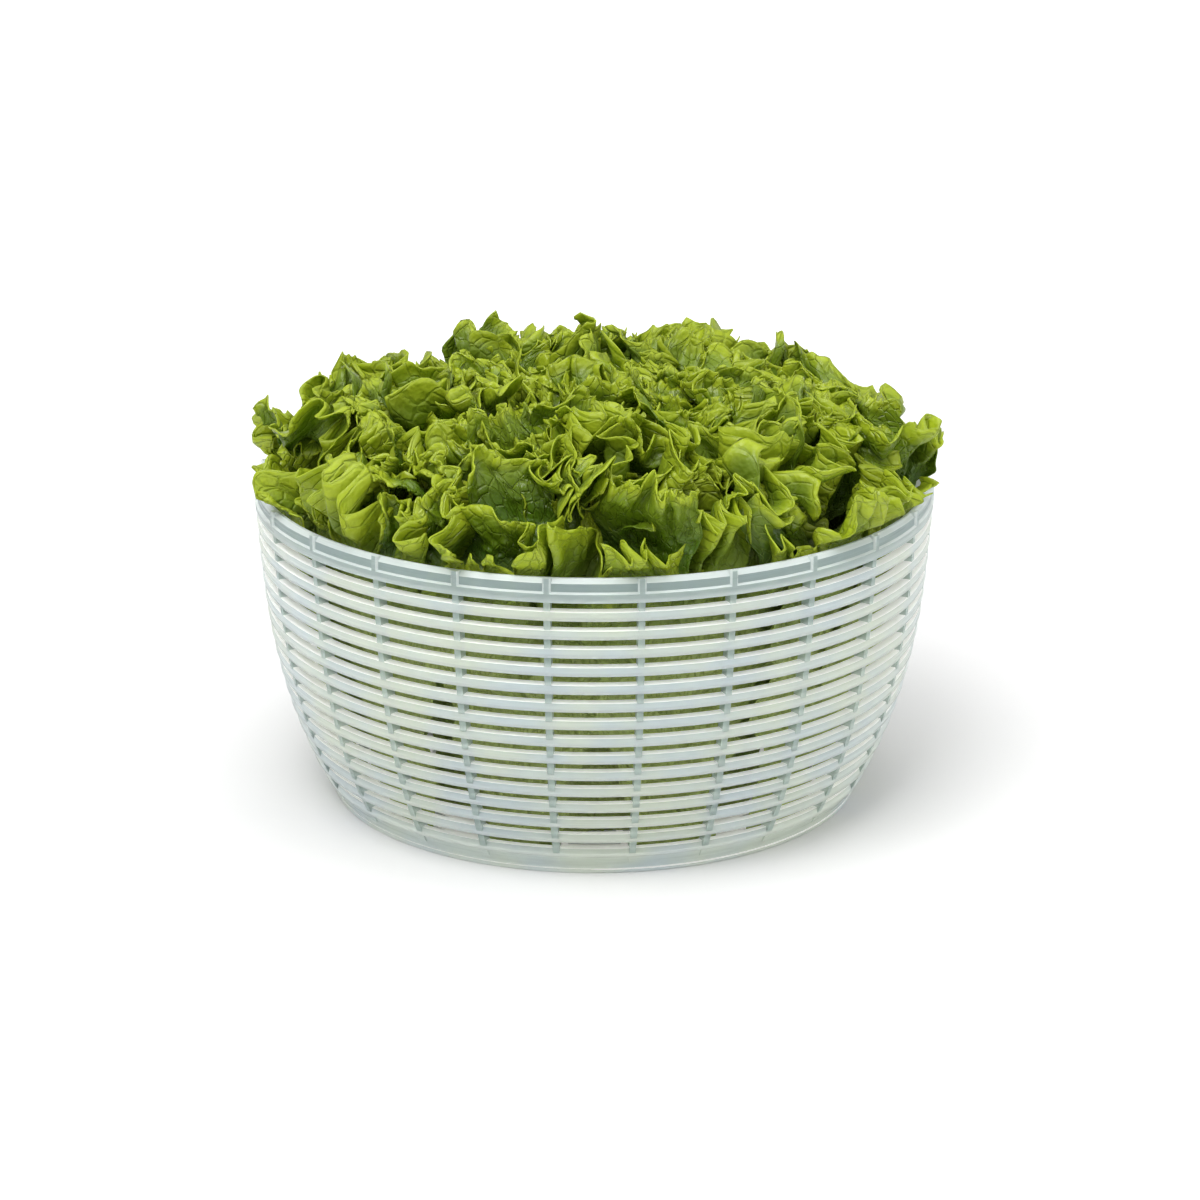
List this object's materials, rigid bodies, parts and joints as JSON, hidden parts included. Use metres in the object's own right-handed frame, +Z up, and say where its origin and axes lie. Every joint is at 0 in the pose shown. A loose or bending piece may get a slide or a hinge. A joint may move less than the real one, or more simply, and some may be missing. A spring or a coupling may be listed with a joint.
{
  "type": "salad spinner basket",
  "caption": "Round translucent salad spinner basket with slatted curved wall, windowed rim, slotted floor and raised centre cone, heaped with loose leaf lettuce that lifts out.",
  "frame": {"origin": "centre of the foot ring, on the surface that the basket stands on", "axes": "+Z up along the basket's axis; the middle of a bay between two ribs faces -Y"},
  "size_m": [0.2476, 0.2476, 0.1573],
  "materials": {
    "frosted_plastic": "frosted, translucent, milky",
    "lettuce": "fresh leaf, slightly waxy"
  },
  "bodies": {
    "basket": {"base_band": "frosted_plastic", "centre_cone": "frosted_plastic", "cone_webs": "frosted_plastic", "floor_grille": "frosted_plastic", "foot_ring": "frosted_plastic", "pivot_socket": "frosted_plastic", "rim_band": "frosted_plastic", "slat_ring_01": "frosted_plastic", "slat_ring_02": "frosted_plastic", "slat_ring_03": "frosted_plastic", "slat_ring_04": "frosted_plastic", "slat_ring_05": "frosted_plastic", "slat_ring_06": "frosted_plastic", "slat_ring_07": "frosted_plastic", "slat_ring_08": "frosted_plastic", "slat_ring_09": "frosted_plastic", "slat_ring_10": "frosted_plastic", "slat_ring_11": "frosted_plastic", "slat_ring_12": "frosted_plastic", "slat_ring_13": "frosted_plastic", "slat_ring_14": "frosted_plastic", "slat_ring_15": "frosted_plastic", "wall_ribs": "frosted_plastic"},
    "salad": {"leaf_1_01": "lettuce", "leaf_1_02": "lettuce", "leaf_1_03": "lettuce", "leaf_1_04": "lettuce", "leaf_1_05": "lettuce", "leaf_1_06": "lettuce", "leaf_1_07": "lettuce", "leaf_1_08": "lettuce", "leaf_1_09": "lettuce", "leaf_1_10": "lettuce", "leaf_1_11": "lettuce", "leaf_1_12": "lettuce", "leaf_2_01": "lettuce", "leaf_2_02": "lettuce", "leaf_2_03": "lettuce", "leaf_2_04": "lettuce", "leaf_2_05": "lettuce", "leaf_2_06": "lettuce", "leaf_2_07": "lettuce", "leaf_2_08": "lettuce", "leaf_2_09": "lettuce", "leaf_3_01": "lettuce", "leaf_3_02": "lettuce", "leaf_3_03": "lettuce", "leaf_3_04": "lettuce", "leaf_3_05": "lettuce", "leaf_3_06": "lettuce", "leaf_3_07": "lettuce", "leaf_4_01": "lettuce", "leaf_4_02": "lettuce", "leaf_4_03": "lettuce", "leaf_4_04": "lettuce", "leaf_4_05": "lettuce", "leaf_heart": "lettuce"}
  },
  "joints": [
    {"name": "salad_lift", "type": "slide", "parent": "basket", "child": "salad", "axis": [0, 0, 1], "range_m": [0, 0.12]}
  ]
}
